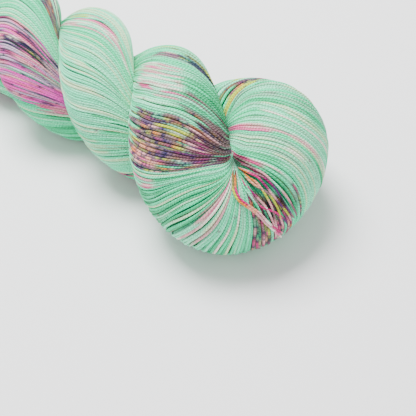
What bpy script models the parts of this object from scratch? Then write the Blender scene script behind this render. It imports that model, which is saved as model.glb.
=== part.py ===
"""A twisted skein of fine yarn, lying on its side.

A big loop of yarn is twisted into a thick rope, folded in half so that the two
halves (plies) wind round each other, and closed by tucking the end of one ply
through the end loop of the other. The skein lies along X with its fold end at +X.
Metres, +Z up, origin under the middle of the skein's box.
"""
import bpy
import bmesh
import math
from mathutils import Vector

# ---- the two plies ----
PITCH = 0.1026            # one full turn of the plies round each other
PLY_OFFSET = 0.0159       # skein axis to a ply's centreline, along the body
PLY_RADIUS = 0.0183       # a ply's radius along the body
BODY_LENGTH = 0.170       # fold pivot to the neck at the far end
NECK_OFFSET = 0.0065      # ply offset where the plies run into the collar
NECK_RADIUS = 0.0120
NECK_TAPER = 0.030        # length over which the plies narrow to the neck

# ---- the fold end ----
FOLD_ANGLE = math.radians(184.2)   # direction of the first ply at the pivot
FOLD_OFFSET = 0.0220      # radius of the U-turn
FOLD_RADIUS = 0.0257      # ply radius on the U-turn
FOLD_REACH = 0.0162       # how far the U-turn's centreline passes the pivot
FOLD_TWIST = 0.30         # share of the body's twist rate left at the fold
FOLD_EASE = 0.027         # length over which the twist eases to that
OFFSET_EASE = 0.0365      # length over which the ply offset widens to the fold
SWELL_NEAR = 0.032        # the ply is at full fold radius up to here from mid-turn
SWELL_FAR = 0.101         # and at its body radius from here
PLUG_REACH = 0.004        # a plug closes the U-turn's eye, this far from the axis
PLUG_RADIUS = 0.0110

# ---- the far end: collar and knob ----
COLLAR_X = -0.1720
COLLAR_RING = 0.0190      # radius of the collar's centre circle
COLLAR_TUBE = 0.0108
COLLAR_TILT = math.radians(12.0)
KNOB_X = -0.1925          # pivot of the knob's own small U-turn
KNOB_OFFSET = 0.0115
KNOB_RADIUS = 0.0125
KNOB_REACH = 0.0095
KNOB_ANGLE = math.radians(25.0)
KNOB_RISE = 0.003         # how far the knob's tip lifts off the skein's axis

# ---- how it lies ----
AXIS_HEIGHT = 0.0312      # the body's underside is pressed flat by about 3 mm
SAG = 0.0035              # the fold end sinks by this under its own weight
SAG_FROM, SAG_TO = -0.050, 0.010
MIDDLE_X = -0.0862        # middle of the skein's length, measured from the pivot

# ---- the loose yarn end ----
END_DIAMETER = 0.0015
END_LIFT = 0.0018         # its centreline above the solid's surface
END_POINTS = 14
# its route over the fold: distance along the rope from mid-turn, and angle
# round the ply from the outward direction
END_ROUTE = (
    (-0.0198, -85.0),
    (-0.0207, -77.0),
    (-0.0205, -66.0),
    (-0.0188, -57.0),
    (-0.0165, -49.5),
    (-0.0138, -38.0),
    (-0.0122, -23.0),
    (-0.0096, 7.0),
)

BLOCK_SIZE = (0.40, 0.20, 0.04)    # of the block that flattens the underside

# ---- mesh fineness ----
RING_SIDES = 40
BODY_RINGS = 150
FOLD_RINGS = 60
COLLAR_RINGS = 64
VOXEL = 0.0012
KEEP_FACES = 0.048        # share of the fused faces that the decimation keeps


def ease(x, start, stop):
    """0 before start, 1 after stop, smooth between."""
    t = min(max((x - start) / (stop - start), 0.0), 1.0)
    return t * t * (3.0 - 2.0 * t)


def place(x, y, z):
    """From the fold pivot's frame to the part's own frame, with the sag."""
    drop = SAG * ease(x, SAG_FROM, SAG_TO)
    return Vector((x - MIDDLE_X, y, z - drop + AXIS_HEIGHT))


def body_angle(x):
    """Ply A's direction round the axis at x, with the twist eased at the fold."""
    rate = 2.0 * math.pi / PITCH
    run = min(max(x + FOLD_EASE, 0.0), FOLD_EASE) / FOLD_EASE
    eased = run ** 3 - 0.5 * run ** 4       # the integral of ease(), 0.5 at the pivot
    slack = (FOLD_TWIST - 1.0) * rate * FOLD_EASE
    return FOLD_ANGLE + rate * x + slack * (eased - 0.5)


def body_offset(x):
    wide = PLY_OFFSET + (FOLD_OFFSET - PLY_OFFSET) * ease(x, -OFFSET_EASE, 0.0)
    neck = ease(x, -BODY_LENGTH, -BODY_LENGTH + NECK_TAPER)
    return NECK_OFFSET + (wide - NECK_OFFSET) * neck


def half_turn_about_axis(v):
    """Ply A's points and directions give ply B's."""
    return Vector((v.x, -v.y, -v.z))


def rope_line():
    """The folded rope: its centres, and the direction outward at each.

    Ply A runs to the fold, round the U-turn, and back as ply B.
    """
    ply_a, out_a = [], []
    for i in range(BODY_RINGS):
        x = -BODY_LENGTH * (1.0 - i / BODY_RINGS)
        angle, offset = body_angle(x), body_offset(x)
        across = Vector((0.0, math.cos(angle), math.sin(angle)))
        ply_a.append(Vector((x, 0.0, 0.0)) + across * offset)
        out_a.append(across)
    turn, out_turn = [], []
    rate = FOLD_TWIST * 2.0 * math.pi / PITCH
    for i in range(FOLD_RINGS + 1):
        beta = math.pi * i / FOLD_RINGS
        x = FOLD_REACH * math.sin(beta)
        angle = FOLD_ANGLE + rate * x
        across = Vector((0.0, math.cos(angle), math.sin(angle)))
        turn.append(Vector((x, 0.0, 0.0)) + across * FOLD_OFFSET * math.cos(beta))
        out_turn.append(Vector((math.sin(beta), 0.0, 0.0)) + across * math.cos(beta))
    ply_b = [half_turn_about_axis(v) for v in reversed(ply_a)]
    out_b = [half_turn_about_axis(v) for v in reversed(out_a)]
    return ply_a + turn + ply_b, out_a + out_turn + out_b


def rope_distances(centres):
    """Distance along the rope of each centre, counted from mid-turn."""
    run = [0.0]
    for before, after in zip(centres, centres[1:]):
        run.append(run[-1] + (after - before).length)
    return [distance - run[-1] / 2.0 for distance in run]


def rope_radius(distance, x):
    """A ply's radius: full at the fold, narrow at the neck."""
    swell = 1.0 - ease(abs(distance), SWELL_NEAR, SWELL_FAR)
    radius = PLY_RADIUS + (FOLD_RADIUS - PLY_RADIUS) * swell
    neck = ease(x, -BODY_LENGTH, -BODY_LENGTH + NECK_TAPER)
    return NECK_RADIUS + (radius - NECK_RADIUS) * neck


def rope_radii(centres):
    return [rope_radius(d, c.x) for d, c in zip(rope_distances(centres), centres)]


def over_rope(distance, angle, lift):
    """A point above the rope's surface, at an angle from its outward side."""
    centres, outs = rope_line()
    run = rope_distances(centres)
    i = max(k for k in range(1, len(run) - 1) if run[k] <= distance)
    share = (distance - run[i]) / (run[i + 1] - run[i])
    centre = centres[i].lerp(centres[i + 1], share)
    along = (centres[i + 1] - centres[i]).normalized()
    out = outs[i].lerp(outs[i + 1], share)
    out = (out - along * out.dot(along)).normalized()
    side = along.cross(out)
    reach = rope_radius(distance, centre.x) + lift
    return centre + (out * math.cos(angle) + side * math.sin(angle)) * reach


def sweep(mesh, centres, radii, closed=False):
    """A round tube along the centres, with a side direction carried along it."""
    count = len(centres)
    side = Vector((0.0, 0.0, 1.0))
    rings = []
    for i, (centre, radius) in enumerate(zip(centres, radii)):
        after = centres[(i + 1) % count] if closed else centres[min(i + 1, count - 1)]
        before = centres[i - 1] if closed else centres[max(i - 1, 0)]
        along = (after - before).normalized()
        side = (side - along * side.dot(along)).normalized()
        other = along.cross(side)
        ring = []
        for j in range(RING_SIDES):
            angle = 2.0 * math.pi * j / RING_SIDES
            out = side * math.cos(angle) + other * math.sin(angle)
            ring.append(mesh.verts.new(place(*(centre + out * radius))))
        rings.append(ring)
    for near, far in zip(rings, rings[1:]):
        for j in range(RING_SIDES):
            k = (j + 1) % RING_SIDES
            mesh.faces.new((near[j], near[k], far[k], far[j]))
    if closed:
        last, first = rings[-1], rings[0]
        shift = min(range(RING_SIDES),
                    key=lambda s: (last[0].co - first[s].co).length)
        for j in range(RING_SIDES):
            k = (j + 1) % RING_SIDES
            mesh.faces.new((last[j], last[k],
                            first[(k + shift) % RING_SIDES],
                            first[(j + shift) % RING_SIDES]))
    else:
        mesh.faces.new(list(reversed(rings[0])))
        mesh.faces.new(rings[-1])


def collar_centres():
    """Circle round the neck, leaning back a little."""
    points = []
    for i in range(COLLAR_RINGS):
        angle = 2.0 * math.pi * i / COLLAR_RINGS
        y, z = COLLAR_RING * math.cos(angle), COLLAR_RING * math.sin(angle)
        lean = z * math.tan(COLLAR_TILT)
        points.append(Vector((COLLAR_X + lean, y, z)))
    return points


def knob_centres():
    """The loop that passes through the collar: out, round a small U-turn, back."""
    across = Vector((0.0, math.cos(KNOB_ANGLE), math.sin(KNOB_ANGLE)))
    stretch, steps = KNOB_X + BODY_LENGTH, 12
    out, back = [], []
    for i in range(steps):
        x = -BODY_LENGTH + stretch * i / steps
        rise = Vector((x, 0.0, KNOB_RISE * i / steps))
        out.append(rise + across * KNOB_OFFSET)
        back.append(rise - across * KNOB_OFFSET)
    turn, steps = [], 24
    for i in range(steps + 1):
        beta = math.pi * i / steps
        tip = Vector((KNOB_X - KNOB_REACH * math.sin(beta), 0.0, KNOB_RISE))
        turn.append(tip + across * KNOB_OFFSET * math.cos(beta))
    return out + turn + list(reversed(back))


def core_centres():
    """A rod on the axis, from the pivot to the knob, between the plies."""
    steps = 40
    return [Vector((KNOB_X * i / steps, 0.0, 0.0)) for i in range(steps + 1)]


def plug_centres():
    """A short upright rod at the pivot."""
    top, steps = Vector((0.0, 0.0, PLUG_REACH)), 4
    return [top * (i / steps) for i in range(-steps, steps + 1)]


def smooth_line(points, count):
    """Points evenly spread along a smooth curve through the given ones."""
    knots = [points[0] * 2.0 - points[1]] + points + [points[-1] * 2.0 - points[-2]]
    fine, steps = [], 24
    for i in range(1, len(knots) - 2):
        a, b, c, d = knots[i - 1:i + 3]
        for j in range(steps):
            t = j / steps
            fine.append(0.5 * (2.0 * b + (c - a) * t
                               + (2.0 * a - 5.0 * b + 4.0 * c - d) * t * t
                               + (3.0 * b - a - 3.0 * c + d) * t ** 3))
    fine.append(points[-1])
    run = [0.0]
    for before, after in zip(fine, fine[1:]):
        run.append(run[-1] + (after - before).length)
    spread = []
    for i in range(count):
        goal = run[-1] * i / (count - 1)
        k = min(max(sum(1 for r in run if r <= goal) - 1, 0), len(fine) - 2)
        share = (goal - run[k]) / (run[k + 1] - run[k])
        spread.append(fine[k].lerp(fine[k + 1], share))
    return spread


def cloth(name, colour, roughness):
    material = bpy.data.materials.new(name)
    material.use_nodes = True
    shader = material.node_tree.nodes["Principled BSDF"]
    shader.inputs["Base Color"].default_value = (*colour, 1.0)
    shader.inputs["Roughness"].default_value = roughness
    shader.inputs["Metallic"].default_value = 0.0
    return material


def add_object(name, data, material):
    piece = bpy.data.objects.new(name, data)
    bpy.context.scene.collection.objects.link(piece)
    data.materials.append(material)
    return piece


def floor_cutter():
    """A block whose top is the surface that the skein lies on."""
    data = bpy.data.meshes.new("floor_cutter")
    mesh = bmesh.new()
    bmesh.ops.create_cube(mesh, size=1.0)
    bmesh.ops.scale(mesh, vec=BLOCK_SIZE, verts=mesh.verts)
    bmesh.ops.translate(mesh, vec=(0.0, 0.0, -BLOCK_SIZE[2] / 2.0), verts=mesh.verts)
    mesh.to_mesh(data)
    mesh.free()
    block = bpy.data.objects.new("floor_cutter", data)
    bpy.context.scene.collection.objects.link(block)
    block.hide_render = True
    block.display_type = 'WIRE'
    return block


def build_hank(material):
    data = bpy.data.meshes.new("hank")
    mesh = bmesh.new()
    rope, _ = rope_line()
    sweep(mesh, rope, rope_radii(rope))
    collar = collar_centres()
    sweep(mesh, collar, [COLLAR_TUBE] * len(collar), closed=True)
    knob = knob_centres()
    sweep(mesh, knob, [KNOB_RADIUS] * len(knob))
    core = core_centres()
    sweep(mesh, core, [NECK_OFFSET] * len(core))
    plug = plug_centres()
    sweep(mesh, plug, [PLUG_RADIUS] * len(plug))
    bmesh.ops.recalc_face_normals(mesh, faces=mesh.faces)
    mesh.to_mesh(data)
    mesh.free()
    hank = add_object("hank", data, material)
    fuse = hank.modifiers.new("fuse", 'REMESH')
    fuse.mode = 'VOXEL'
    fuse.voxel_size = VOXEL
    thin = hank.modifiers.new("thin", 'DECIMATE')
    thin.ratio = KEEP_FACES
    cut = hank.modifiers.new("rest", 'BOOLEAN')
    cut.operation = 'DIFFERENCE'
    cut.solver = 'EXACT'
    cut.object = floor_cutter()
    return hank


def build_loose_end(material):
    """A free end of the yarn that lies over the fold end."""
    route = [place(*over_rope(distance, math.radians(angle), END_LIFT))
             for distance, angle in END_ROUTE]
    data = bpy.data.curves.new("loose_end", 'CURVE')
    data.dimensions = '3D'
    data.bevel_depth = END_DIAMETER / 2.0
    data.bevel_resolution = 2
    data.use_fill_caps = True
    spline = data.splines.new('POLY')
    spline.points.add(END_POINTS - 1)
    for point, at in zip(spline.points, smooth_line(route, END_POINTS)):
        point.co = (*at, 1.0)
    return add_object("loose_end", data, material)


def main():
    for old in list(bpy.data.objects):
        bpy.data.objects.remove(old)
    yarn = cloth("yarn", (0.50, 0.83, 0.68), 0.85)
    build_hank(yarn)
    build_loose_end(yarn)


main()
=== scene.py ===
"""The looks of a twisted skein of hand-dyed yarn: every strand, its dye, floor and light."""
import math

import bpy
import numpy as np
from mathutils import Matrix, Vector


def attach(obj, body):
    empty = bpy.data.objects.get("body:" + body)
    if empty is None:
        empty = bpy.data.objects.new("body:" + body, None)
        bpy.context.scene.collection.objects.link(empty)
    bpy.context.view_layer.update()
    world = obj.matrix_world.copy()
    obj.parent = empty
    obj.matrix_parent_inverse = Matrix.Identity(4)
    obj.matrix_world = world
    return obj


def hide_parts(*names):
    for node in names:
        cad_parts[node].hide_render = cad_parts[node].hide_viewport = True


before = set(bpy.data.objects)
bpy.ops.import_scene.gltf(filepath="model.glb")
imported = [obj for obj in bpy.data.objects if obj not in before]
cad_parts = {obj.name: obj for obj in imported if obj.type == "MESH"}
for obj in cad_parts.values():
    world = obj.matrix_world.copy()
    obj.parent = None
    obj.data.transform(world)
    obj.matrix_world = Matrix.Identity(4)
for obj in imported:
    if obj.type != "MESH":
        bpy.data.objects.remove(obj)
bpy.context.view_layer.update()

MM = 0.001
SEED = 20
rng = np.random.default_rng(SEED)

# ---------------------------------------------------------------- the folded rope
# the same form as the CAD solid, in millimetres from the fold's pivot
PITCH, PLY_OFFSET, PLY_RADIUS = 102.6, 15.9, 18.3
BODY_LENGTH, NECK_OFFSET, NECK_RADIUS, NECK_TAPER = 170.0, 6.5, 12.0, 30.0
FOLD_ANGLE = math.radians(184.2)
FOLD_OFFSET, FOLD_RADIUS, FOLD_REACH = 22.0, 25.7, 16.2
FOLD_TWIST, FOLD_EASE, OFFSET_EASE = 0.30, 27.0, 36.5
SWELL_NEAR, SWELL_FAR = 32.0, 101.0
AXIS_HEIGHT, SAG, SAG_FROM, SAG_TO = 31.2, 3.5, -50.0, 10.0
MIDDLE_X = -86.2
COLLAR_X, COLLAR_RING, COLLAR_TUBE = -172.0, 19.0, 10.8
COLLAR_TILT = math.radians(12.0)
KNOB_X, KNOB_OFFSET, KNOB_RADIUS, KNOB_REACH = -192.5, 11.5, 12.5, 9.5
KNOB_ANGLE, KNOB_RISE = math.radians(25.0), 3.0
END_DIAMETER, END_LIFT = 1.5, 1.8
# the loose end: mm along the rope from mid-turn, degrees round the ply
END_ROUTE = ((-19.8, -85.0), (-20.7, -77.0), (-20.5, -66.0), (-18.8, -57.0),
             (-16.5, -49.5), (-13.8, -38.0), (-12.2, -23.0), (-9.6, 7.0))


def ease(x, start, stop):
    """Rises smoothly from nought at start to one at stop."""
    t = np.clip((np.asarray(x, float) - start) / (stop - start), 0.0, 1.0)
    return t * t * (3.0 - 2.0 * t)


def window(x, start, stop, soft):
    """One between start and stop, zero outside, with soft edges."""
    return ease(x, start - soft, start + soft) * (1.0 - ease(x, stop - soft, stop + soft))


def unit(v):
    """Vectors of length one."""
    return v / np.maximum(np.linalg.norm(v, axis=-1, keepdims=True), 1e-9)


def place(p):
    """From the pivot's frame to the row frame, with the sag, still in mm."""
    q = np.array(p, float)
    x = q[..., 0].copy()
    q[..., 2] += AXIS_HEIGHT - SAG * ease(x, SAG_FROM, SAG_TO)
    q[..., 0] = x - MIDDLE_X
    return q


PRESS_HEIGHT = 3.0        # the floor's press reaches this high, in mm


def press(p, thick):
    """Flattens what would reach through the floor, and keeps the order of the layers."""
    q = p.copy()
    z, room = q[..., 2], PRESS_HEIGHT - thick
    flat = thick + room * np.exp((z - PRESS_HEIGHT) / room)
    q[..., 2] = np.where(z < PRESS_HEIGHT, flat, z)
    return q


def body_angle(x):
    """The direction of the first ply from the skein's axis; the twist eases off at the fold."""
    rate = 2.0 * math.pi / PITCH
    run = np.clip(x + FOLD_EASE, 0.0, FOLD_EASE) / FOLD_EASE
    slack = (FOLD_TWIST - 1.0) * rate * FOLD_EASE
    return FOLD_ANGLE + rate * x + slack * (run ** 3 - 0.5 * run ** 4 - 0.5)


ROPE_STEP, BODY_SAMPLES, TURN_SAMPLES = 0.5, 1400, 500


def make_rope():
    """The rope's centreline with its frame, radius and distance to the skein's axis."""
    x = np.linspace(-BODY_LENGTH, 0.0, BODY_SAMPLES)
    wide = PLY_OFFSET + (FOLD_OFFSET - PLY_OFFSET) * ease(x, -OFFSET_EASE, 0.0)
    neck = ease(x, -BODY_LENGTH, -BODY_LENGTH + NECK_TAPER)
    off, ang = NECK_OFFSET + (wide - NECK_OFFSET) * neck, body_angle(x)
    out_a = np.stack([0 * x, np.cos(ang), np.sin(ang)], 1)
    ply_a = np.stack([x, 0 * x, 0 * x], 1) + out_a * off[:, None]
    beta = np.linspace(0.0, math.pi, TURN_SAMPLES)
    x = FOLD_REACH * np.sin(beta)
    ang = FOLD_ANGLE + FOLD_TWIST * 2.0 * math.pi / PITCH * x
    across = np.stack([0 * x, np.cos(ang), np.sin(ang)], 1)
    cb = np.cos(beta)[:, None]
    turn = np.stack([x, 0 * x, 0 * x], 1) + across * FOLD_OFFSET * cb
    out_t = np.stack([np.sin(beta), 0 * x, 0 * x], 1) + across * cb
    flip = np.array([1.0, -1.0, -1.0])
    c = np.concatenate([ply_a[:-1], turn, ply_a[::-1][1:] * flip])
    n = np.concatenate([out_a[:-1], out_t, out_a[::-1][1:] * flip])
    run = np.concatenate([[0.0], np.cumsum(np.linalg.norm(np.diff(c, axis=0), axis=1))])
    t = np.linspace(0.0, run[-1], int(run[-1] / ROPE_STEP) + 1)
    c = np.stack([np.interp(t, run, c[:, i]) for i in range(3)], 1)
    n = np.stack([np.interp(t, run, n[:, i]) for i in range(3)], 1)
    along = unit(np.gradient(c, axis=0))
    n = unit(n - (n * along).sum(1)[:, None] * along)
    t = t - run[-1] / 2.0
    swell = 1.0 - ease(np.abs(t), SWELL_NEAR, SWELL_FAR)
    r = PLY_RADIUS + (FOLD_RADIUS - PLY_RADIUS) * swell
    r = NECK_RADIUS + (r - NECK_RADIUS) * ease(c[:, 0], -BODY_LENGTH, -BODY_LENGTH + NECK_TAPER)
    a = np.where(c[:, 0] < 0, np.hypot(c[:, 1], c[:, 2]), np.linalg.norm(c, axis=1))
    return {"t": t, "c": c, "n": n, "b": np.cross(along, n), "r": r, "a": a}


ROPE = make_rope()
HALF = ROPE["t"][-1]


def rope_at(t):
    """Centre, two cross directions, radius and axis distance at t along the rope."""
    vectors = [np.stack([np.interp(t, ROPE["t"], ROPE[k][:, i]) for i in range(3)], -1)
               for k in "cnb"]
    return *vectors, np.interp(t, ROPE["t"], ROPE["r"]), np.interp(t, ROPE["t"], ROPE["a"])


CREASE_GAP = 0.3          # each ply stops this far short of the skein's axis


def on_rope(t, theta, lift=0.0):
    """Points (pivot frame) and outward directions on the rope, theta in radians."""
    c, n, b, r, a = rope_at(t)
    u, v = (r + lift) * np.cos(theta), (r + lift) * np.sin(theta)
    squeezed = np.maximum(u, -(a - CREASE_GAP))
    out = unit(np.cos(theta)[..., None] * n + np.sin(theta)[..., None] * b)
    return c + squeezed[..., None] * n + v[..., None] * b, out


DEPTH_STRIDE = 3          # every third sample of the rope is enough to measure depth


def depth_in_other(p, t, clear):
    """How deep each point lies inside a stretch of the rope further than clear away."""
    best = np.full(p.shape[:-1], -np.inf)
    for i in range(0, len(ROPE["t"]), DEPTH_STRIDE):
        d = ROPE["r"][i] - np.linalg.norm(p - ROPE["c"][i], axis=-1)
        far = np.abs(ROPE["t"][i] - t) > clear
        best = np.where(far, np.maximum(best, d), best)
    return best


# ---------------------------------------------------------------- colours
# linear base colours of the dyed wool
DEEP, MINT = (0.010, 0.46, 0.18), (0.030, 0.80, 0.38)
PALE, CREAM, WHITE = (0.25, 0.92, 0.58), (0.62, 0.86, 0.52), (0.90, 0.84, 0.72)
BLUSH, PINK, HOT = (0.78, 0.36, 0.40), (0.85, 0.12, 0.34), (0.62, 0.008, 0.19)
MAGENTA, PURPLE, PLUM = (0.26, 0.008, 0.12), (0.105, 0.024, 0.13), (0.11, 0.034, 0.06)
MAUVE, BROWN, PEACH = (0.25, 0.125, 0.15), (0.24, 0.09, 0.05), (0.80, 0.34, 0.22)
LILAC, ROSE, SAGE = (0.50, 0.34, 0.52), (0.94, 0.06, 0.56), (0.26, 0.66, 0.42)
FRESH = (0.13, 0.88, 0.50)
YELLOW, ORANGE, OLIVE = (0.52, 0.60, 0.03), (0.66, 0.19, 0.02), (0.20, 0.21, 0.06)
NAVY, BLACK, SLATE = (0.022, 0.014, 0.075), (0.016, 0.012, 0.018), (0.15, 0.19, 0.15)


def wander(rows, cols, across, along):
    """Smooth noise with unit spread: across strands, and along each one."""
    field = rng.standard_normal((rows, cols))
    for axis, width in ((0, across), (1, along)):
        if width > 0:
            reach = int(3 * width) + 1
            k = np.exp(-0.5 * (np.arange(-reach, reach + 1) / width) ** 2)
            count = field.shape[axis]
            field = np.apply_along_axis(
                lambda v: np.convolve(v, k, mode="full")[reach:reach + count], axis, field)
    return (field - field.mean()) / (field.std() + 1e-9)


BLEED_PASSES = 2          # how often the dye is blurred along a strand
DASH_TABLE, DASH_START = 400, 50.0   # dashes drawn for a strand; its start in them, in mm


def dashes(rows, s, shortest, longest, palette, weights):
    """Each strand as runs of colours from a palette, s being the length along it."""
    size = rng.uniform(shortest, longest, (rows, 1))
    start = rng.uniform(0, DASH_START, (rows, 1))
    which = np.floor((s + start) / size).astype(int) % DASH_TABLE
    share = np.array(weights) / np.sum(weights)
    table = rng.choice(len(palette), (rows, DASH_TABLE), p=share)
    paint = np.array(palette)[np.take_along_axis(table, which, 1)]
    for _ in range(BLEED_PASSES):
        padded = np.pad(paint, ((0, 0), (1, 1), (0, 0)), mode="edge")
        paint = 0.5 * paint + 0.25 * (padded[:, :-2] + padded[:, 2:])
    return paint


def mix(colour, other, weight):
    """Blends towards another colour, sample by sample."""
    return colour + (np.asarray(other) - colour) * weight[..., None]


# patches of dye, later ones over earlier, two of them also painted shade and one kind
# also a painted highlight: kind, from and to along the rope (mm from mid-turn, where the strand
# crosses the rope's outer side), from and to round the ply (degrees from that side), share of
# strands
PATCHES = (
    # the fan below the dimple
    ("even", -46, -19, -100, 60, 0.5),
    ("deep", -46, -30, -100, 40, 0.6),
    ("pale_and_highlight", -46, -30, -60, 40, 0.05),
    ("pink", -43.5, -41.5, -10, 30, 0.4),
    ("mauve", -44, -20, -150, -104, 0.7),
    ("pale_and_highlight", -28, -19.5, -100, 30, 0.3),
    ("blush", -30, -20, -70, 20, 0.3),
    ("pink", -30.2, -28.6, -72, -30, 0.7),
    # the lobe left of the dimple
    ("sage", -84, -62, -60, 60, 0.5),
    ("deep", -78, -70, -110, -25, 0.7),
    ("greyed", -71, -61, -110, -12, 0.75),
    ("blush", -80, -67, -20, 60, 0.42),
    ("pink", -76.8, -75.4, 8, 48, 0.8),
    ("hot", -69.4, -68.2, 26, 46, 0.9),
    ("pink", -68.2, -66.4, -22, 14, 0.8),
    ("speckle", -61.8, -47, -85, 30, 0.96),
    ("peach", -55, -47, -8, 40, 0.85),
    ("limestreak", -60, -57.4, -46, -12, 0.8),
    # by the dimple this plum dye is also painted shade
    ("plum_and_shade", -66, -47, -125, -45, 0.92),
    ("speckle", -60, -50, 22, 60, 0.4),
    ("navy", -86.4, -82, -120, 6, 1.0),
    ("mauve", -84.8, -81.6, 6, 50, 0.8),
    ("lime", -92, -85.6, -70, 60, 0.8),
    ("limestreak", -83, -81.6, -80, -20, 0.8),
    # the loose zone right of the dimple
    # the deep mint under the free strands is partly painted shade from them
    ("deep", -15, -4, -110, -42, 0.85),
    ("even", -8, 4, -40, 40, 0.6),
    ("multi", -16.5, -5.4, -46, 24, 0.97),
    ("hot", -4.8, -1.8, -112, -74, 0.96),
    ("blush", -4.6, -1.0, -84, -52, 0.55),
    ("multi", -3.6, -2.6, -46, 0, 0.96),
    # the fold's right side
    ("sage", 1, 36, -120, 60, 0.5),
    ("pale_and_highlight", -3, 26, -60, 30, 0.22),
    ("deep", -1, 5, -110, -40, 0.25),
    ("pale_and_highlight", 9, 28, -90, 40, 0.10),
    ("blush", 6.6, 9.8, -150, -20, 0.55),
    ("pink", 7.2, 9.4, -150, -92, 0.9),
    ("blush", 14, 15.6, -84, -50, 0.6),
    ("greyed", 18, 28, -130, -60, 0.3),
    ("limestreak", 27.8, 29.2, -150, -64, 0.85),
    ("lime", 30, 34, -150, -50, 0.4),
    ("speckle", 29, 35, -100, -40, 0.3),
    # the next lobes
    ("even", 100, 174, -120, 120, 0.8),
    ("deep", 112, 126, 20, 120, 0.25),
    ("cream", 104, 118, -120, 20, 0.5),
    ("cream", 120, 146, -120, 110, 0.35),
    ("pink", 151.4, 153.0, -50, 60, 0.8),
    ("blush", 150, 158, -100, 80, 0.6),
    ("limestreak", 152.6, 154.6, -100, -25, 0.9),
    ("cream", 158, 168, -120, 110, 0.75),
    ("deep", 174, 182, -120, 110, 0.4),
    ("pinks", -211, -186, -110, 60, 0.92),
    ("rose", -195, -188.4, -95, 30, 0.62),
    ("navy", -206.4, -203, -75, 0, 0.8),
    ("pink", -187, -181, -90, -40, 0.7),
    ("deep", -180, -160, -120, 120, 0.4),
    # the sides that face away
    ("speckle", 34, 46, -40, 130, 0.8),
    ("multi", 58, 66, -60, 110, 0.6),
    ("rose", 70, 76, 0, 110, 0.5),
    ("multi", 92, 100, -40, 60, 0.8),
    ("multi", -108, -100, -110, 20, 0.5),
    ("lime", -118, -110, 0, 110, 0.6),
    ("pinks", -148, -136, -60, 110, 0.6),
    ("pinks", 194, 212, -60, 120, 0.7),
    ("multi", 228, 240, -120, 40, 0.7),
    ("speckle", -238, -224, -120, 60, 0.8),
    ("pinks", -30, -18, 60, 140, 0.7),
    ("deep", -16, 6, 70, 150, 0.6),
)
# a kind: shortest and longest dash in mm, share of small dark dots, colours and weights
KINDS = {
    "speckle": (2.2, 7.0, 0.18, (
        (MAUVE, 2.2), (PLUM, 3.4), (MAGENTA, 1.8), (YELLOW, 0.7), (ORANGE, 0.8),
        (BLUSH, 0.5), (OLIVE, 1.5), (PURPLE, 2.4), (BROWN, 2.4))),
    "peach": (2.0, 6.0, 0.20, (
        (PEACH, 2.2), (BLUSH, 2.4), (YELLOW, 1.2), (PINK, 1.0), (MAUVE, 1.0), (ORANGE, 0.7))),
    # the wool's plum dye, in darker colours as painted shade by the dimple
    "plum_and_shade": (4.0, 11.0, 0.05, (
        (MAUVE, 2.2), (PLUM, 3.0), (PURPLE, 1.6), (BROWN, 1.4), (MAGENTA, 0.6), (BLUSH, 0.5))),
    "greyed": (6.0, 18.0, 0.0, ((MAUVE, 2.0), (SLATE, 1.4), (MINT, 1.2), (DEEP, 1.4))),
    "multi": (2.0, 6.5, 0.18, (
        (HOT, 3.4), (MAGENTA, 2.6), (PURPLE, 1.8), (ORANGE, 0.8), (YELLOW, 0.9),
        (BLUSH, 0.9), (PLUM, 2.0), (DEEP, 0.5), (BLACK, 1.0), (PEACH, 0.8))),
    "navy": (2.0, 6.0, 0.2, (
        (NAVY, 4.4), (BLACK, 3.4), (PURPLE, 1.0), (YELLOW, 0.6), (WHITE, 0.6), (MAGENTA, 0.5))),
    "pinks": (4.0, 14.0, 0.03, (
        (PINK, 2.0), (ROSE, 2.0), (MAGENTA, 0.8), (PURPLE, 0.8), (BLUSH, 1.6),
        (NAVY, 0.5), (LILAC, 2.4))),
    "mauve": (6.0, 20.0, 0.0, ((MAUVE, 3.0), (PURPLE, 0.5), (BLUSH, 1.6))),
    "blush": (8.0, 30.0, 0.0, ((BLUSH, 3.0), (WHITE, 1.6), (PALE, 0.8))),
    "pink": (5.0, 16.0, 0.0, ((PINK, 2.0), (BLUSH, 1.6))),
    "hot": (6.0, 16.0, 0.0, ((HOT, 2.4), (PINK, 0.6))),
    "rose": (6.0, 16.0, 0.0, ((ROSE, 2.4), (PINK, 0.6), (LILAC, 0.7))),
    "limestreak": (4.0, 12.0, 0.06, ((YELLOW, 3.0), (OLIVE, 1.2), (ORANGE, 0.5))),
    "lime": (4.0, 14.0, 0.02, ((YELLOW, 2.0), (OLIVE, 1.6), (PALE, 1.2), (MINT, 1.0))),
    "even": (40.0, 90.0, 0.0, ((FRESH, 2.0), (PALE, 2.0), (CREAM, 0.5))),
    "sage": (15.0, 50.0, 0.0, ((SAGE, 2.0), (PALE, 1.0))),
    "deep": (12.0, 40.0, 0.0, ((DEEP, 2.0), (MINT, 1.0))),
    "cream": (20.0, 60.0, 0.0, ((CREAM, 1.0), (PALE, 1.0))),
    # white and cream dye, also a painted frosty highlight on the mint
    "pale_and_highlight": (20.0, 60.0, 0.0, ((WHITE, 1.0), (CREAM, 1.6), (PALE, 1.0))),
}


# outside the patches: a colour, where on the tone scale its blend starts and ends, how far
TONES = ((MINT, -1.9, -0.3, 1.0), (PALE, -0.3, 1.1, 1.0), (CREAM, 0.8, 2.0, 0.8))
PATCH_JITTER = 0.6        # mm by which a strand may miss a patch
EDGE_FROM, EDGE_TO, EDGE_SOFT = 7.0, 8.0, 6.0   # degrees by which a patch's ends wander
PATCH_STRENGTH, PATCH_LEAST = 0.95, 0.55
DOT_STRENGTH = 0.85
STRAY_SHARE, STRAY_STRENGTH = 0.001, 0.7


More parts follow.
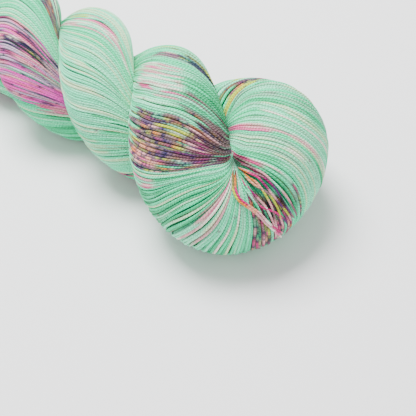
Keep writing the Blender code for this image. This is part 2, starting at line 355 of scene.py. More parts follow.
def dye(t0, theta, s):
    """Linear colours for strands: t0 (rows), theta and s (rows x samples)."""
    rows, cols = theta.shape
    # slow drifts over many strands, the strands' own tones, and changes along each
    tone = 0.45 * wander(rows, cols, 4.0, 22.0) + 0.70 * wander(rows, 1, 0.0, 0.0) \
        + 0.40 * wander(rows, cols, 0.0, 8.0)
    colour = np.broadcast_to(DEEP, (rows, cols, 3))
    for other, start, stop, most in TONES:
        colour = mix(colour, other, most * ease(tone, start, stop))
    degrees = np.degrees(theta)
    for kind, t_from, t_to, a_from, a_to, share in PATCHES:
        here = t0[:, None] + rng.normal(0, PATCH_JITTER, (rows, 1))
        lo = a_from + rng.normal(0, EDGE_FROM, (rows, 1))
        hi = a_to + rng.normal(0, EDGE_TO, (rows, 1))
        weight = ((here > t_from) & (here < t_to)) * (rng.random((rows, 1)) < share)
        if not weight.any():
            continue
        weight = weight * window(degrees, lo, hi, EDGE_SOFT)
        shortest, longest, dots, palette = KINDS[kind]
        colours, weights = zip(*palette)
        paint = dashes(rows, s, shortest, longest, colours, weights)
        patchy = PATCH_LEAST + (1.0 - PATCH_LEAST) * ease(wander(rows, cols, 0.6, 3.0), -1.6, -0.5)
        colour = mix(colour, paint, weight * patchy * PATCH_STRENGTH)
        if dots:
            dotted = rng.random((rows, cols)) < dots
            colour = mix(colour, NAVY, dotted * weight * DOT_STRENGTH)
    stray = rng.random((rows, cols)) < STRAY_SHARE
    return mix(colour, MAGENTA, stray * STRAY_STRENGTH)


# ---------------------------------------------------------------- strands
# how a strand leans: (mm from mid-turn, a, b). At x hundred degrees from the rope's
# outer side, towards the near crease, it lies a*x + b*x**3 mm further along the rope
# than where it crosses
LEAN = np.array((
    (-170.0, 13.5, 13.0), (-140.0, 13.5, 13.0), (-110.0, 7.9, 8.1), (-92.0, 7.9, 8.1),
    (-83.0, 8.2, 3.0), (-76.0, 7.4, 0.0), (-59.0, 9.8, 12.9), (-48.5, 14.4, 4.1),
    (-39.5, 5.5, 12.7), (-25.5, 5.9, 0.2), (-18.0, 3.0, 0.0), (-11.0, 1.0, -6.3),
    (-6.3, 0.5, -7.3), (-3.0, 8.0, -12.0), (2.0, 7.0, -8.0), (8.0, 4.0, -3.0),
    (15.0, -2.0, 7.5), (30.0, 3.0, 2.0), (40.0, 10.0, 6.0), (50.0, 14.0, 8.0),
    (76.0, 15.0, 8.0), (100.0, 7.9, 8.1), (140.0, 13.5, 13.0), (180.0, 13.5, 13.0),
    (200.0, 7.9, 8.1),
))
LEAN_ANGLE = math.radians(100.0)
PAST_SLOPE = 0.6          # beyond that angle the cube goes on as a straight line
LEAN_BLEND = 0.5          # radians either side of the outer side where the two meet


def lean(t0, theta):
    """How far along the rope a strand has moved at theta."""
    x = np.abs(theta) / LEAN_ANGLE
    cube = np.where(x < 1.0, x ** 3, 1.0 + PAST_SLOPE * (x - 1.0))
    w = ease(theta, -LEAN_BLEND, LEAN_BLEND)
    a, b = [near + (far - near) * w for near, far in
            ((np.interp(t0, LEAN[:, 0], LEAN[:, k]), np.interp(-t0, LEAN[:, 0], LEAN[:, k]))
             for k in (1, 2))]
    return -np.sign(theta) * (a * x + b * cube)


TWIST_LENGTH = 3.0        # mm of strand for one turn of its own plies
TWIST_LEAST, TWIST_MOST = 0.85, 1.2   # and how that varies between strands


def add_piece(name, mesh, colours, material):
    """Puts a mesh into the scene as a piece of the skein, dyed point by point."""
    attr = mesh.color_attributes.new("dye", 'FLOAT_COLOR', 'POINT')
    rgba = np.ones((len(mesh.vertices), 4))
    rgba[:, :3] = colours
    attr.data.foreach_set("color", rgba.ravel())
    piece = bpy.data.objects.new(name, mesh)
    bpy.context.scene.collection.objects.link(piece)
    mesh.materials.append(material)
    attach(piece, "root")
    return piece


def strand_mesh(name, runs, material, sides=5, half_turn=118.0):
    """One mesh of strands. A run is (points, outs, radii, colours), in mm, row frame.

    A strand is an arch of some sides over the direction outs, which leaves its hidden
    back open, or a whole tube where half_turn is 180.
    """
    verts, faces, colours, uvs = [], [], [], []
    base = 0
    ang = np.radians(np.linspace(-half_turn, half_turn, sides + 1))
    wide = sides + 1
    for points, outs, radii, shade in runs:
        m = len(points)
        along = unit(np.gradient(points, axis=0))
        side = unit(np.cross(along, outs))
        up = np.cross(side, along)
        arch = np.cos(ang)[None, :, None] * up[:, None] \
            + np.sin(ang)[None, :, None] * side[:, None]
        verts.append((points[:, None] + radii[:, None, None] * arch).reshape(-1, 3))
        i = np.arange(m - 1)[:, None] * wide + np.arange(sides)[None] + base
        quad = np.stack([i + wide, i + wide + 1, i + 1, i], -1)
        faces.append(quad.reshape(-1, 4))
        colours.append(np.repeat(shade, wide, axis=0))
        s = np.concatenate([[0.0], np.cumsum(np.linalg.norm(np.diff(points, axis=0), axis=1))])
        s = s / TWIST_LENGTH * rng.uniform(TWIST_LEAST, TWIST_MOST) + rng.random()
        u = np.broadcast_to(ang[None, :] / (2.0 * math.pi), (m, wide))
        v = np.broadcast_to(s[:, None], (m, wide))
        uv = np.stack([u, v], -1)
        corners = [uv[1:, :-1], uv[1:, 1:], uv[:-1, 1:], uv[:-1, :-1]]
        uvs.append(np.stack(corners, 2).reshape(-1, 2))
        base += m * wide
    verts, faces = np.concatenate(verts) * MM, np.concatenate(faces)
    mesh = bpy.data.meshes.new(name)
    mesh.vertices.add(len(verts))
    mesh.vertices.foreach_set("co", verts.ravel())
    mesh.loops.add(faces.size)
    mesh.loops.foreach_set("vertex_index", faces.ravel().astype(np.int32))
    mesh.polygons.add(len(faces))
    mesh.polygons.foreach_set("loop_start", (np.arange(len(faces)) * 4).astype(np.int32))
    mesh.polygons.foreach_set("use_smooth", np.ones(len(faces), bool))
    mesh.update(calc_edges=True)
    layer = mesh.uv_layers.new(name="strand")
    layer.data.foreach_set("uv", np.concatenate(uvs).ravel())
    return add_piece(name, mesh, np.concatenate(colours), material)


LEAST_SAMPLES = 4         # a shorter stretch of strand is left out


def cut_runs(keep):
    """The stretches of True in a row, each one sample longer at both ends."""
    runs, start = [], None
    for i, k in enumerate(list(keep) + [False]):
        if k and start is None:
            start = i
        elif not k and start is not None:
            if i - start >= LEAST_SAMPLES:
                runs.append((max(start - 1, 0), min(i + 1, len(keep))))
            start = None
    return runs


STRAND, STRAND_LEAST = 0.70, 0.26     # a strand's radius in mm, wide open and squeezed
STRAND_FILL, STRAND_EXTRA = 0.48, 0.01   # its share of the room up to the next strand
SPACING = 0.68            # along the rope, where strands cross its outer side
REACH = math.radians(150.0)   # how far round the ply a strand is followed
OTHER_PLY = 62.0          # mm along the rope from where it counts as another ply
SUNK = 1.6                # a strand ends this deep in the other ply
CREASE_SHADE, CREASE_WIDTH = 0.60, 7.0   # painted shade darkens a strand's ends by the crease, over mm
# where the two dimples lie, mm from mid-turn and round the ply; painted shade darkens the strands
# round them, over mm and by this much
DIMPLE_AT, DIMPLE_ANGLE = 12.8, math.radians(94.5)
DIMPLE_SIZE, DIMPLE_SHADE = 8.0, 0.85
# the strands of the fold's fan stand over those before this, by mm and for mm
FAN_EDGE, FAN_RISE, FAN_SOFT, FAN_WIDTH = -46.8, 0.55, 1.2, 7.0
LOOSE_DEPTH, LOOSE_SHADE = 0.8, 0.45     # how deep the ground under the free strands sinks; painted shade on it
DIVE_SHADE = 0.40         # shade where the strands dive under the fan's edge
SLACK_RISE, SLACK_DRIFT = 0.45, 1.2      # how far a slack strand leaves its place


def room_between(p):
    """The distance from each sample of a strand to its neighbours on both sides."""
    along = unit(np.gradient(p, axis=1))
    gap = p[1:] - p[:-1]
    gap = gap - (gap * along[:-1]).sum(2)[..., None] * along[:-1]
    gap = np.linalg.norm(gap, axis=2)
    nearest = np.vstack([gap, gap[-1:]])
    nearest[1:] = 0.5 * (nearest[1:] + gap)
    return nearest


def smoothed(rows, taps=5):
    """A running mean along each row."""
    k = np.ones(taps) / taps
    return np.apply_along_axis(
        lambda v: np.convolve(np.pad(v, taps // 2, mode="edge"), k, "valid"), 1, rows)


def wound(t_from, t_to, lift=0.0, spacing=SPACING, step=1.35, loose=0.0, shade=1.0):
    """Strands laid round the rope from crease to crease, as runs."""
    t0 = np.arange(t_from, t_to, spacing)
    t0 = t0 + rng.normal(0, 0.14 * spacing, len(t0))
    rows, column = len(t0), (len(t0), 1)
    cols = int(2 * REACH * PLY_RADIUS / step)
    jitter = rng.uniform(-0.5, 0.5, column) * 2 * REACH / cols
    theta = np.linspace(-REACH, REACH, cols)[None] + jitter
    degrees = np.degrees(theta)
    start = t0[:, None]
    # strands wander a little from their places, in bundles and singly
    t = start + lean(start, theta)
    t = t + spacing * (0.28 * wander(rows, cols, 2.5, 12.0 / step)
                       + 0.12 * wander(rows, cols, 0.0, 9.0 / step))
    up = lift + 0.12 * wander(rows, 1, 0.0, 0.0) + 0.10 * wander(rows, cols, 0.0, 7.0 / step)
    # the fan's edge stands over the strands it covers, and the loose zone sinks
    past = start - FAN_EDGE
    edge = np.tanh(past / FAN_SOFT) * np.exp(-(past / FAN_WIDTH) ** 2)
    up = up + FAN_RISE * edge * window(degrees, -125.0, -30.0, 14.0)
    loose_zone = window(start, -14.5, -5.0, 2.0) * window(degrees, -118.0, -18.0, 14.0)
    up = up - LOOSE_DEPTH * loose_zone
    # a few strands are slack and lie over their neighbours in places
    slack = (rng.random(column) < loose) * ease(wander(rows, cols, 0.0, 10.0 / step), 0.0, 1.2)
    up = up + SLACK_RISE * slack
    t = np.clip(t + SLACK_DRIFT * slack * rng.normal(0, 1.0, column), -HALF, HALF)
    p, out = on_rope(t, theta, up)
    _, _, _, r, a = rope_at(t)
    on_crease = r * np.cos(theta) < -(a - CREASE_GAP)
    keep = (depth_in_other(p, t, OTHER_PLY) < SUNK - lift) & ~on_crease
    keep = keep & (np.abs(t) < HALF - 1.0)
    seg = np.linalg.norm(np.diff(p, axis=1), axis=2)
    s = np.concatenate([np.zeros(column), np.cumsum(seg, axis=1)], axis=1)
    width = STRAND_FILL * room_between(p) + STRAND_EXTRA
    width = smoothed(np.clip(width, STRAND_LEAST, STRAND))
    # little light reaches under the free strands and into the dimple beside the fan
    dive = window(start, -72.0, FAN_EDGE, 1.5) * window(degrees, -130.0, -70.0, 24.0)
    light = shade * (1.0 - LOOSE_SHADE * loose_zone) * (1.0 - DIVE_SHADE * dive)
    # painted shade round the dimples on both sides
    for side in (-1.0, 1.0):
        bottom, _ = on_rope(np.array(side * DIMPLE_AT), np.array(side * DIMPLE_ANGLE))
        near = 1.0 - ease(np.linalg.norm(p - bottom, axis=-1), 0.5, DIMPLE_SIZE)
        light = light * (1.0 - DIMPLE_SHADE * near)
    colour = dye(t0, theta, s) * light[..., None]
    p = press(place(p), STRAND)
    runs = []
    for i in range(rows):
        for a0, a1 in cut_runs(keep[i]):
            worn = s[i, a0:a1]
            inner = np.minimum(worn - worn[0], worn[-1] - worn)
            # painted shade on the strand's ends by the crease
            dark = 1.0 - CREASE_SHADE * (1.0 - ease(inner, 0.0, CREASE_WIDTH))
            runs.append((p[i, a0:a1], out[i, a0:a1], width[i, a0:a1],
                         colour[i, a0:a1] * dark[:, None]))
    return runs


# strands that stand free between the dimple and the fold's outer edge:
# (mm along the rope, degrees round the ply) along each, then its colours in turn.
# They all leave the dimple and end under the fold
LOOSE = (
    (((-15.6, -94), (-15.3, -75), (-12.8, -57.5), (-11.0, -40), (-10.8, -20), (-11.0, 15),
      (-11.5, 50)),
     (BLACK, HOT, HOT, MAGENTA, BLUSH, WHITE, BLUSH, WHITE, BLUSH, HOT, PINK, PURPLE, MINT)),
    (((-15.6, -94), (-11.3, -73), (-9.3, -64), (-9.1, -50), (-9.4, -34), (-10.3, -12),
      (-10.0, 30)),
     (ORANGE, BLACK, ORANGE, PEACH, YELLOW, BLUSH, MAUVE, BLUSH, HOT, MAGENTA, PURPLE, MINT)),
    (((-15.6, -94), (-8.3, -71.5), (-7.3, -60), (-7.2, -45), (-6.8, -30), (-6.3, -12), (-6.2, 30)),
     (BLACK, ORANGE, HOT, MAGENTA, BLUSH, PURPLE, YELLOW, BLUSH, HOT, MAGENTA, MINT)),
    (((-15.6, -94), (-7.0, -70), (-5.3, -54), (-5.6, -38), (-5.8, -26), (-5.4, 0), (-5.0, 30)),
     (BROWN, BLUSH, MAUVE, MAGENTA, PURPLE, BLACK, PURPLE, MAUVE, PALE, HOT, MINT)),
    (((-15.6, -94), (-15.8, -69), (-14.3, -58), (-13.2, -44), (-12.8, -22), (-13.0, 20)),
     (MINT, DEEP, MINT, PALE, MINT, YELLOW, OLIVE, HOT, BLUSH, MINT)),
    (((-15.6, -94), (-11.0, -66), (-8.2, -50), (-8.0, -32), (-8.6, -14), (-8.4, 30)),
     (BROWN, DEEP, PEACH, MAUVE, YELLOW, YELLOW, BLUSH, HOT, MAGENTA, MINT)),
    (((-15.6, -94), (-10.2, -90), (-5.4, -72), (-4.4, -55), (-4.2, -35), (-4.4, -10), (-4.2, 30)),
     (BROWN, MAUVE, BLUSH, PALE, BLUSH, MAUVE, MAGENTA, PALE, MINT)),
    (((-15.6, -92), (-14.2, -66), (-12.4, -44), (-9.4, -30), (-8.0, -16), (-7.4, 0), (-7.0, 30)),
     (BLACK, DEEP, MINT, MAUVE, HOT, HOT, PURPLE, BLACK, HOT, MINT)),
)


ROUTE_FINE = 12           # samples between two points of a route


def smooth_route(points, count):
    """Points evenly spread along a smooth curve through the given ones."""
    k = np.vstack([2 * points[0] - points[1], points, 2 * points[-1] - points[-2]])
    fine = []
    for i in range(1, len(k) - 2):
        a, b, c, d = k[i - 1:i + 3]
        for t in np.arange(ROUTE_FINE) / ROUTE_FINE:
            fine.append(0.5 * (2 * b + (c - a) * t + (2 * a - 5 * b + 4 * c - d) * t * t
                               + (3 * b - a - 3 * c + d) * t ** 3))
    fine = np.array(fine + [points[-1]])
    run = np.concatenate([[0.0], np.cumsum(np.linalg.norm(np.diff(fine, axis=0), axis=1))])
    q = np.linspace(0.0, run[-1], count)
    return np.stack([np.interp(q, run, fine[:, i]) for i in range(fine.shape[1])], 1), q


def along_palette(palette, count):
    """The palette's colours in turn along a strand, each blending into the next."""
    where = np.linspace(0, len(palette) - 1, count)
    steps = np.floor(where) + ease(where % 1.0, 0.3, 0.7)
    table = np.array(palette)
    return np.stack([np.interp(steps, np.arange(len(palette)), table[:, i]) for i in range(3)], 1)


LOOSE_SAMPLES, LOOSE_RADIUS = 60, 0.50
LOOSE_START, LOOSE_LIFT = -1.6, 2.25     # mm under the surface at the start; rise from it


def loose_strands():
    """The free strands, as runs: they rise out of the dimple and sink back in."""
    runs = []
    share = np.linspace(0.0, 1.0, LOOSE_SAMPLES)
    up = LOOSE_START + LOOSE_LIFT * ease(share, 0.0, 0.14) * (1.0 - ease(share, 0.66, 0.95))
    # painted shade darkens each strand where it leaves the dimple
    dark = 0.25 + 0.75 * ease(share, 0.02, 0.16)
    for route, palette in LOOSE:
        line, _ = smooth_route(np.array(route, float), LOOSE_SAMPLES)
        p, out = on_rope(line[:, 0], np.radians(line[:, 1]), up)
        runs.append((press(place(p), STRAND), out, np.full(LOOSE_SAMPLES, LOOSE_RADIUS),
                     along_palette(palette, LOOSE_SAMPLES) * dark[:, None]))
    return runs


SWEPT_STEP = 1.6          # mm from sample to sample along a strand
SWEPT_TURN = 3.2          # radians round the ply that its whole length stands for
SWEPT_DYE = 12.0          # its strands take their dye from this far either side of t_dye


def swept(centres, outs, radius, count, spin, t_dye):
    """Strands that run along a swept tube: points, outward directions and colours."""
    along = unit(np.gradient(centres, axis=0))
    outs = unit(outs - (outs * along).sum(1)[:, None] * along)
    side = np.cross(along, outs)
    s = np.concatenate([[0.0], np.cumsum(np.linalg.norm(np.diff(centres, axis=0), axis=1))])
    m = int(s[-1] / SWEPT_STEP)
    q = np.linspace(0, s[-1], m)
    c, o, b = [np.stack([np.interp(q, s, v[:, i]) for i in range(3)], 1)
               for v in (centres, outs, side)]
    o, b = unit(o), unit(b)
    phase = 2.0 * math.pi * (np.arange(count) + rng.normal(0, 0.15, count)) / count
    ang = phase[:, None] + spin * q[None] / radius + 0.05 * wander(count, m, 0.0, 8.0)
    rad = radius + 0.18 * wander(count, 1, 0.0, 0.0) + 0.10 * wander(count, m, 0.0, 6.0)
    out = np.cos(ang)[..., None] * o + np.sin(ang)[..., None] * b
    p = c[None] + out * rad[..., None]
    t0 = t_dye + np.linspace(-SWEPT_DYE, SWEPT_DYE, count)
    theta = np.broadcast_to(np.linspace(-0.5, 0.5, m) * SWEPT_TURN, (count, m))
    return p, out, dye(t0, theta, np.broadcast_to(q, (count, m)))


# ---------------------------------------------------------------- materials
FIBRE_SCALE = 1500.0      # noise cells per metre, for the tone of single fibres
FIBRE_FAINT, FIBRE_BRIGHT = 0.66, 1.24
PLY_DEPTH = 0.00025       # metres between the strand's own plies
# painted shade in the grooves between a strand's plies, painted light on their ridges
GROOVE_PAINTED_SHADE, RIDGE_PAINTED_LIGHT = 0.80, 1.06
WAVE_UNIT = 2.0 * math.pi / 10.0     # the wave texture's scale for one band per unit


def node(tree, kind, **values):
    """A new shader node with the given settings."""
    n = tree.nodes.new(kind)
    for key, value in values.items():
        setattr(n, key, value)
    return n


def scaled(tree, vector, factor):
    """A colour times a number."""
    n = node(tree, "ShaderNodeVectorMath", operation='SCALE')
    tree.links.new(vector, n.inputs[0])
    tree.links.new(factor, n.inputs["Scale"])
    return n.outputs["Vector"]


def ranged(tree, value, to_min, to_max, from_min=0.0, from_max=1.0):
    """A number taken from one range to another."""
    n = node(tree, "ShaderNodeMapRange")
    for key, at in (("From Min", from_min), ("From Max", from_max),
                    ("To Min", to_min), ("To Max", to_max)):
        n.inputs[key].default_value = at
    tree.links.new(value, n.inputs["Value"])
    return n.outputs["Result"]


def yarn_material(name, plied):
    """Dyed wool, from the strands' own colours."""
    m = bpy.data.materials.new(name)
    m.use_nodes = True
    tree = m.node_tree
    shader = tree.nodes["Principled BSDF"]
    link = tree.links.new
    dyed = node(tree, "ShaderNodeVertexColor", layer_name="dye")
    coords = node(tree, "ShaderNodeTexCoord")
    fibre = node(tree, "ShaderNodeTexNoise")
    fibre.inputs["Scale"].default_value = FIBRE_SCALE
    fibre.inputs["Detail"].default_value = 2.0
    link(coords.outputs["Object"], fibre.inputs["Vector"])
    tone = ranged(tree, fibre.outputs["Fac"], FIBRE_FAINT, FIBRE_BRIGHT, 0.25, 0.75)
    colour = scaled(tree, dyed.outputs["Color"], tone)
    if plied:
        # the strand's own two plies: two ridges a turn, bumped, with painted shade between them
        # and painted light on the ridges
        uv = node(tree, "ShaderNodeUVMap", uv_map="strand")
        turn = node(tree, "ShaderNodeMapping")
        turn.inputs["Scale"].default_value = (2.0, 2.0, 1.0)
        wave = node(tree, "ShaderNodeTexWave", wave_type='BANDS', bands_direction='DIAGONAL')
        wave.inputs["Scale"].default_value = WAVE_UNIT
        bump = node(tree, "ShaderNodeBump")
        bump.inputs["Strength"].default_value = 0.8
        bump.inputs["Distance"].default_value = PLY_DEPTH
        link(uv.outputs["UV"], turn.inputs["Vector"])
        link(turn.outputs["Vector"], wave.inputs["Vector"])
        link(wave.outputs["Fac"], bump.inputs["Height"])
        link(bump.outputs["Normal"], shader.inputs["Normal"])
        groove = ranged(tree, wave.outputs["Fac"], GROOVE_PAINTED_SHADE, RIDGE_PAINTED_LIGHT)
        colour = scaled(tree, colour, groove)
    link(colour, shader.inputs["Base Color"])
    for key, value in (("Roughness", 0.78), ("Specular IOR Level", 0.25),
                       ("Sheen Weight", 0.12), ("Sheen Roughness", 0.45)):
        shader.inputs[key].default_value = value
    return m


YARN = yarn_material("yarn_strands", True)
UNDER = yarn_material("yarn_under", False)

# ---------------------------------------------------------------- camera
CAMERA_AZ, CAMERA_EL = math.radians(35.9), math.radians(44.65)
CAMERA_DISTANCE, LENS, SENSOR = 395.0, 72.0, 36.0
PIVOT_AT = (0.559, 0.374)  # where the fold's pivot stands, in frame widths from the top left


CLIP = (0.01, 20.0)        # metres


def beside(look):
    """The directions right and up of a view along look."""
    right = look.cross(Vector((0, 0, 1))).normalized()
    return right, right.cross(look)


def add_camera():
    """Stands off from the fold's pivot, turned so that the pivot moves off the middle."""
    back = np.array([math.sin(CAMERA_AZ) * math.cos(CAMERA_EL),
                     -math.cos(CAMERA_AZ) * math.cos(CAMERA_EL), math.sin(CAMERA_EL)])
    pivot = np.array([-MIDDLE_X, 0.0, AXIS_HEIGHT])
    loc = (pivot + back * CAMERA_DISTANCE) * MM
    data = bpy.data.cameras.new("camera")
    data.sensor_width, data.lens = SENSOR, LENS
    data.clip_start, data.clip_end = CLIP
    camera = bpy.data.objects.new("camera", data)
    bpy.context.scene.collection.objects.link(camera)
    forward = Vector(-back)
    right, up = beside(forward)
    dx = (PIVOT_AT[0] - 0.5) * SENSOR / LENS
    dy = (0.5 - PIVOT_AT[1]) * SENSOR / LENS
    look = (forward - right * dx - up * dy).normalized()
    turn = Matrix((*beside(look), -look)).transposed()
    camera.matrix_world = Matrix.Translation(Vector(loc)) @ turn.to_4x4()
    bpy.context.scene.camera = camera


add_camera()


# ---------------------------------------------------------------- the loose end
# where each of its two plies starts round the other, and its colours in turn
END_PLIES = (
    (0.0, (ORANGE, OLIVE, YELLOW, ORANGE, PEACH, BLUSH, BLUSH, WHITE, PINK, WHITE)),
    (math.pi, (BROWN, ORANGE, HOT, HOT, PEACH, BLUSH, WHITE, HOT, HOT, BLUSH)),
)
END_SAMPLES = 70
END_PLY, END_PLY_START, END_PLY_TIP = 0.52, 0.22, 0.03   # a ply's radius along it
END_APART, END_FRAY, FRAY_LENGTH = 0.56, 0.35, 6.0   # from its middle to a ply; more at the tip
END_TURN, END_SWAY, SWAY_RATE = 1.5, 0.5, 0.25   # the plies lie side by side and sway
END_DARK, END_DARK_LENGTH = 0.12, 5.0    # painted shade where it comes up out of the dimple


def loose_end():
    """The cord: two plies side by side, out of the dimple, over the fold, apart at the tip."""
    t, deg = np.array(END_ROUTE).T
    p, out = on_rope(t, np.radians(deg), END_LIFT)
    path, q = smooth_route(place(p), END_SAMPLES)
    along = unit(np.gradient(path, axis=0))
    where = np.linspace(0.0, 1.0, len(t))
    out = unit(np.stack([np.interp(q / q[-1], where, out[:, i]) for i in range(3)], 1))
    side = unit(np.cross(along, out))
    spread = END_APART + END_FRAY * ease(q, q[-1] - FRAY_LENGTH, q[-1])
    # painted shade near the start, out of the dimple
    dark = END_DARK + (1.0 - END_DARK) * ease(q, 0.0, END_DARK_LENGTH)
    radii = END_PLY_START + (END_PLY - END_PLY_START) * ease(q, 0.0, 2.5)
    radii[-2:] = 0.46, END_PLY_TIP
    runs = []
    for phase, palette in END_PLIES:
        ang = phase + END_TURN + END_SWAY * np.sin(q * SWAY_RATE)
        p = path + spread[:, None] * (np.cos(ang)[:, None] * out + np.sin(ang)[:, None] * side)
        p[-1] = p[-2] + 0.15 * along[-1]
        runs.append((p, out, radii, along_palette(palette, len(q)) * dark[:, None]))
    piece = strand_mesh("loose_end_yarn", runs, YARN, sides=9, half_turn=180.0)
    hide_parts("loose_end")


loose_end()

# ---------------------------------------------------------------- the skein
FOLD_START, FOLD_MIDDLE, FOLD_END = -96.0, -24.0, 62.0
UNDER_FROM, UNDER_TO = -110.0, 110.0
FAR_FROM, FAR_TO = 2.0 - HALF, HALF - 2.0
FINE, COARSE = 0.85, 1.5   # mm from sample to sample along a strand
FOLD_LOOSE, BODY_LOOSE = 0.05, 0.03      # share of slack strands

near = strand_mesh("strands_fold_a",
                   wound(FOLD_START, FOLD_MIDDLE, step=FINE, loose=FOLD_LOOSE), YARN)
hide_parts("hank")
strand_mesh("strands_fold_b", wound(FOLD_MIDDLE, FOLD_END, step=FINE, loose=FOLD_LOOSE), YARN)
strand_mesh("strands_loose", loose_strands(), YARN, sides=9, half_turn=180.0)
strand_mesh("strands_ply_a", wound(FAR_FROM, FOLD_START, step=COARSE, loose=BODY_LOOSE), YARN)
strand_mesh("strands_ply_b", wound(FOLD_END, FAR_TO, step=COARSE, loose=BODY_LOOSE), YARN)
# a plain layer under them, darkened as painted shade, seen only in the gaps
strand_mesh("strands_under",
            wound(UNDER_FROM, UNDER_TO, lift=-0.8, spacing=0.9, step=2.6, shade=0.6),
            UNDER, sides=3)

# deep mint darkened as painted shade, for the inside that shows in the gaps
INSIDE_IN_PAINTED_SHADE = np.array(DEEP) * 0.6
INSIDE_DEPTH, INSIDE_PRESS = 1.3, 1.6    # mm under the strands' centres; over the floor
INSIDE_ALONG, INSIDE_ROUND = 260, 41


def core_piece():
    """The inside, deep mint darkened as painted shade, seen only in the gaps."""
    t = np.linspace(-HALF, HALF, INSIDE_ALONG)
    theta = np.linspace(-math.pi, math.pi, INSIDE_ROUND)
    tt, th = np.meshgrid(t, theta, indexing="ij")
    p, _ = on_rope(tt, th, -INSIDE_DEPTH)
    p = press(place(p), INSIDE_PRESS)
    m, n = tt.shape
    i, j = np.arange(m - 1)[:, None], np.arange(n - 1)[None]
    corner = i * n + j
    faces = np.stack([corner, corner + 1, corner + n + 1, corner + n], -1).reshape(-1, 4)
    mesh = bpy.data.meshes.new("inside")
    mesh.from_pydata((p.reshape(-1, 3) * MM).tolist(), [], faces.tolist())
    mesh.shade_smooth()
    add_piece("inside", mesh, INSIDE_IN_PAINTED_SHADE, UNDER)


core_piece()

# ---------------------------------------------------------------- the far end
COLLAR_STRANDS, COLLAR_SPIN, COLLAR_DYE = 52, 0.35, -40.0
KNOB_STRANDS, KNOB_SPIN, KNOB_DYE = 66, 0.25, 20.0
RING_SAMPLES, LEG_SAMPLES, KNOB_SAMPLES = 160, 12, 40
FACES_IN = -0.75          # a collar strand ends where it faces the ring's middle more than this
UNDER_DEPTH = 0.9         # mm from the strands' centres down to the layer under them


def collar_ring():
    """The collar's centreline, and the directions away from its middle."""
    ang = np.linspace(0, 2 * math.pi, RING_SAMPLES)
    y, z = COLLAR_RING * np.cos(ang), COLLAR_RING * np.sin(ang)
    ring = np.stack([COLLAR_X + z * math.tan(COLLAR_TILT), y, z], 1)
    return ring, np.stack([0 * ang, np.cos(ang), np.sin(ang)], 1)


def knob_line():
    """The knob's centreline, out of the collar and back, and its outward directions."""
    across = np.array([0.0, math.cos(KNOB_ANGLE), math.sin(KNOB_ANGLE)])
    back = np.array([1.0, 0.0, 0.0])
    rise = np.array([0.0, 0.0, KNOB_RISE])
    x = np.linspace(COLLAR_X, KNOB_X, LEG_SAMPLES)
    leg = x[:, None] * back + rise * np.linspace(0, 1, LEG_SAMPLES)[:, None]
    beta = np.linspace(0, math.pi, KNOB_SAMPLES)[:, None]
    turn = KNOB_X * back + rise + across * KNOB_OFFSET * np.cos(beta) \
        - back * KNOB_REACH * np.sin(beta)
    away, home = leg + across * KNOB_OFFSET, (leg - across * KNOB_OFFSET)[::-1]
    line = np.vstack([away[:-1], turn, home[1:]])
    straight = np.tile(across, (LEG_SAMPLES - 1, 1))
    outs = np.vstack([straight, across * np.cos(beta) - back * np.sin(beta), -straight])
    return line, outs


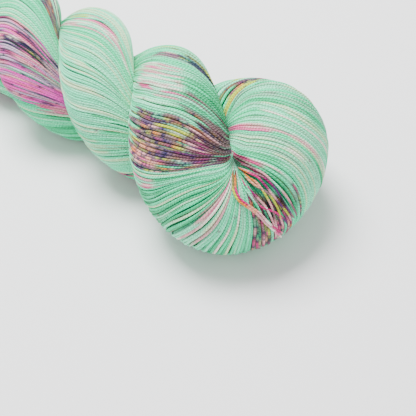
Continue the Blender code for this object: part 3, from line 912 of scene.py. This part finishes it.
def far_end():
    """The collar and the knob that passes through it."""
    ring, ring_outs = collar_ring()
    p, out, colour = swept(ring, ring_outs, COLLAR_TUBE, COLLAR_STRANDS, COLLAR_SPIN, COLLAR_DYE)
    at = np.round(np.linspace(0, RING_SAMPLES - 1, p.shape[1])).astype(int)
    runs = []
    for i in range(len(p)):
        facing = (out[i] * ring_outs[at]).sum(1)
        for a0, a1 in cut_runs(facing >= FACES_IN):
            runs.append((press(place(p[i, a0:a1]), STRAND), out[i, a0:a1],
                         np.full(a1 - a0, STRAND), colour[i, a0:a1]))
    line, line_outs = knob_line()
    p, out, colour = swept(line, line_outs, KNOB_RADIUS, KNOB_STRANDS, KNOB_SPIN, KNOB_DYE)
    for i in range(len(p)):
        runs.append((press(place(p[i]), STRAND), out[i], np.full(p.shape[1], STRAND),
                     colour[i]))
    strand_mesh("strands_far_end", runs, YARN, sides=6, half_turn=130.0)
    # a plain layer under them, darkened as painted shade, seen only through the gaps
    under = []
    for centres, outs, radius in ((ring, ring_outs, COLLAR_TUBE),
                                  (line, line_outs, KNOB_RADIUS)):
        m = len(centres)
        under.append((press(place(centres), STRAND), outs, np.full(m, radius - UNDER_DEPTH),
                      np.tile(INSIDE_IN_PAINTED_SHADE, (m, 1))))
    strand_mesh("inside_far_end", under, UNDER, sides=24, half_turn=180.0)


far_end()

# ---------------------------------------------------------------- floor and light
FLOOR_HALF, FLOOR_COLOUR = 6.0, (0.85, 0.85, 0.86, 1)
WORLD_STRENGTH = 0.85
LIGHT_TARGET = (0.05, 0.0, 0.03)
# name, place and size in metres, power in watts
LIGHTS = (("key", (-0.4, 0.12, 1.05), 0.6, 36.0), ("fill", (0.9, -0.9, 0.8), 1.2, 6.0))


def floor():
    """A plain pale surface to stand on."""
    w = FLOOR_HALF
    data = bpy.data.meshes.new("floor")
    data.from_pydata([(-w, -w, 0), (w, -w, 0), (w, w, 0), (-w, w, 0)], [], [(0, 1, 2, 3)])
    ground = bpy.data.objects.new("floor", data)
    bpy.context.scene.collection.objects.link(ground)
    m = bpy.data.materials.new("floor")
    m.use_nodes = True
    shader = m.node_tree.nodes["Principled BSDF"]
    shader.inputs["Base Color"].default_value = FLOOR_COLOUR
    shader.inputs["Roughness"].default_value = 0.9
    shader.inputs["Specular IOR Level"].default_value = 0.1
    data.materials.append(m)


def area_light(name, at, size, power):
    """A soft square light that faces the skein."""
    data = bpy.data.lights.new(name, 'AREA')
    data.shape, data.size, data.energy = 'SQUARE', size, power
    lamp = bpy.data.objects.new(name, data)
    bpy.context.scene.collection.objects.link(lamp)
    lamp.location = at
    lamp.rotation_euler = (Vector(LIGHT_TARGET) - Vector(at)).to_track_quat('-Z', 'Y').to_euler()


floor()
world = bpy.data.worlds.new("studio")
world.use_nodes = True
world.node_tree.nodes["Background"].inputs["Color"].default_value = (1.0, 1.0, 1.0, 1)
world.node_tree.nodes["Background"].inputs["Strength"].default_value = WORLD_STRENGTH
bpy.context.scene.world = world
for light in LIGHTS:
    area_light(*light)
